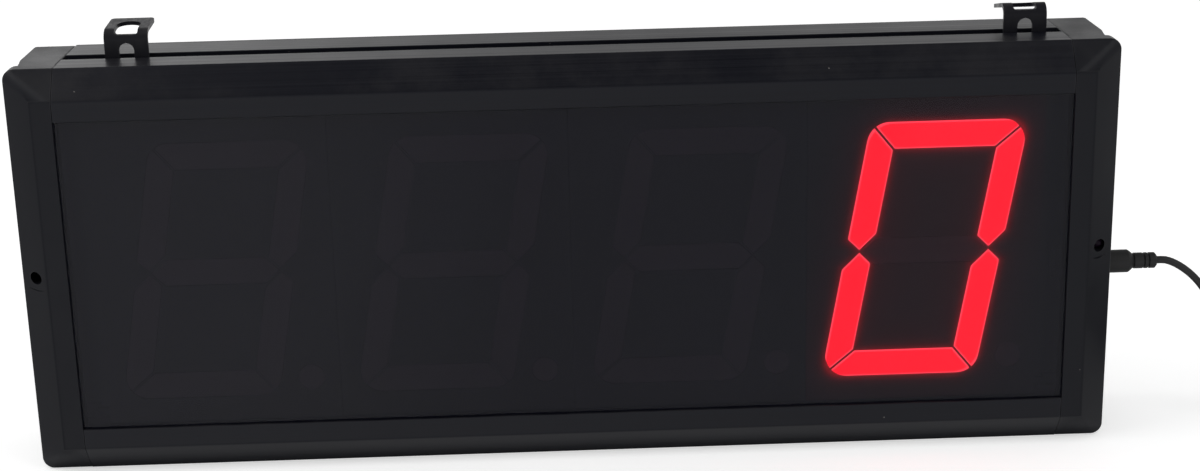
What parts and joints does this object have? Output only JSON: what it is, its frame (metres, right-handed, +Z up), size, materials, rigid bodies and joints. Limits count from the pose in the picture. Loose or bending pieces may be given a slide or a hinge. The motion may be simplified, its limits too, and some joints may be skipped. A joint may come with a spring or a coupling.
{
  "type": "digital counter",
  "caption": "Wall counter in a long black frame: smoked window over red seven-segment digits, sliding hanging lugs in the top rail's slot, and a low-voltage lead with its wall adapter.",
  "frame": {"origin": "middle of the underside of the case, with the lead and its adapter left out", "axes": "+X along the rails towards the side with the power socket, -Y out of the window towards the viewer, +Z up towards the hanging lugs"},
  "size_m": [0.6248, 0.0708, 0.1717],
  "materials": {
    "anodised_aluminium": "satin black anodised extrusion",
    "moulded_plastic": "fine satin moulding",
    "smoked_window": "polished smoked acrylic",
    "back_sheet": "matt sheet",
    "black_steel": "black stamped steel",
    "module_housing": "matt black face",
    "diffuser_dark": "unlit red diffuser",
    "diffuser_lit": "lit red diffuser",
    "circuit_board": "solder mask",
    "dark_lens": "polished dark lens",
    "screw_steel": "blackened steel",
    "soft_plastic": "soft satin black",
    "adapter_plastic": "satin black moulding"
  },
  "bodies": {
    "case": {"top_rail": "anodised_aluminium", "bottom_rail": "anodised_aluminium", "left_end_cap": "moulded_plastic", "right_end_cap": "moulded_plastic", "front_window": "smoked_window", "back_panel": "back_sheet", "digit_1_housing": "module_housing", "digit_2_housing": "module_housing", "digit_3_housing": "module_housing", "digit_4_housing": "module_housing", "digit_1_segment_a": "diffuser_dark", "digit_1_segment_b": "diffuser_dark", "digit_1_segment_c": "diffuser_dark", "digit_1_segment_d": "diffuser_dark", "digit_1_segment_e": "diffuser_dark", "digit_1_segment_f": "diffuser_dark", "digit_1_segment_g": "diffuser_dark", "digit_1_point": "diffuser_dark", "digit_2_segment_a": "diffuser_dark", "digit_2_segment_b": "diffuser_dark", "digit_2_segment_c": "diffuser_dark", "digit_2_segment_d": "diffuser_dark", "digit_2_segment_e": "diffuser_dark", "digit_2_segment_f": "diffuser_dark", "digit_2_segment_g": "diffuser_dark", "digit_2_point": "diffuser_dark", "digit_3_segment_a": "diffuser_dark", "digit_3_segment_b": "diffuser_dark", "digit_3_segment_c": "diffuser_dark", "digit_3_segment_d": "diffuser_dark", "digit_3_segment_e": "diffuser_dark", "digit_3_segment_f": "diffuser_dark", "digit_3_segment_g": "diffuser_dark", "digit_3_point": "diffuser_dark", "digit_4_segment_a": "diffuser_lit", "digit_4_segment_b": "diffuser_lit", "digit_4_segment_c": "diffuser_lit", "digit_4_segment_d": "diffuser_lit", "digit_4_segment_e": "diffuser_lit", "digit_4_segment_f": "diffuser_lit", "digit_4_segment_g": "diffuser_dark", "digit_4_point": "diffuser_dark", "display_board": "circuit_board", "dc_jack": "soft_plastic", "ir_receiver": "dark_lens", "left_cap_screw_1": "screw_steel", "left_cap_screw_2": "screw_steel", "left_cap_screw_3": "screw_steel", "left_cap_screw_4": "screw_steel", "right_cap_screw_1": "screw_steel", "right_cap_screw_2": "screw_steel", "right_cap_screw_3": "screw_steel", "right_cap_screw_4": "screw_steel", "dc_plug": "soft_plastic", "cord_lead": "soft_plastic", "cord_coil": "soft_plastic", "power_adapter": "adapter_plastic"},
    "left_lug_body": {"left_lug": "black_steel"},
    "right_lug_body": {"right_lug": "black_steel"}
  },
  "joints": [
    {"name": "left_lug_slide", "type": "slide", "parent": "case", "child": "left_lug_body", "axis": [1, 0, 0], "range_m": [-0.015, 0.155]},
    {"name": "right_lug_slide", "type": "slide", "parent": "case", "child": "right_lug_body", "axis": [1, 0, 0], "range_m": [-0.165, 0.005]}
  ]
}
